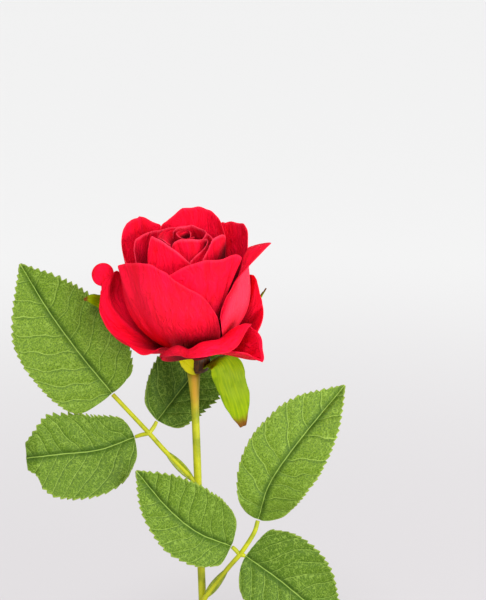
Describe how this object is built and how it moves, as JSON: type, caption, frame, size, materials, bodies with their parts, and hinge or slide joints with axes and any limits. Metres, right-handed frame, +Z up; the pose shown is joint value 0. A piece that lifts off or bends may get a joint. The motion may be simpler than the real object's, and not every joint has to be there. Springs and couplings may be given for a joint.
{
  "type": "rose in a bud vase",
  "caption": "Single red rose with two three-leaflet leaves, standing in water in a plain slim-necked bud vase.",
  "frame": {"origin": "middle of the underside of the vase's foot, on the surface that it stands on", "axes": "+Z up through the vase, -Y towards the front of the flower, +X to the flower's right as seen from the front"},
  "size_m": [0.168, 0.0845, 0.4001],
  "materials": {
    "glaze": "smooth glossy off-white glaze",
    "water": "clear still water",
    "stalk": "smooth yellow-green stalk, orange-brown near the bloom",
    "leaf": "matte green with a fine net of lighter veins",
    "sepal": "matte yellow-green, brown at the tips",
    "petal": "velvety matte red with fine embossed streaks"
  },
  "bodies": {
    "root": {"vase": "glaze", "water": "water", "stem": "stalk", "calyx": "sepal", "bloom": "petal", "leaflet_left_terminal": "leaf", "leaflet_left_outer": "leaf", "leaflet_left_inner": "leaf", "leaflet_right_terminal": "leaf", "leaflet_right_inner": "leaf", "leaflet_right_outer": "leaf"}
  },
  "joints": []
}
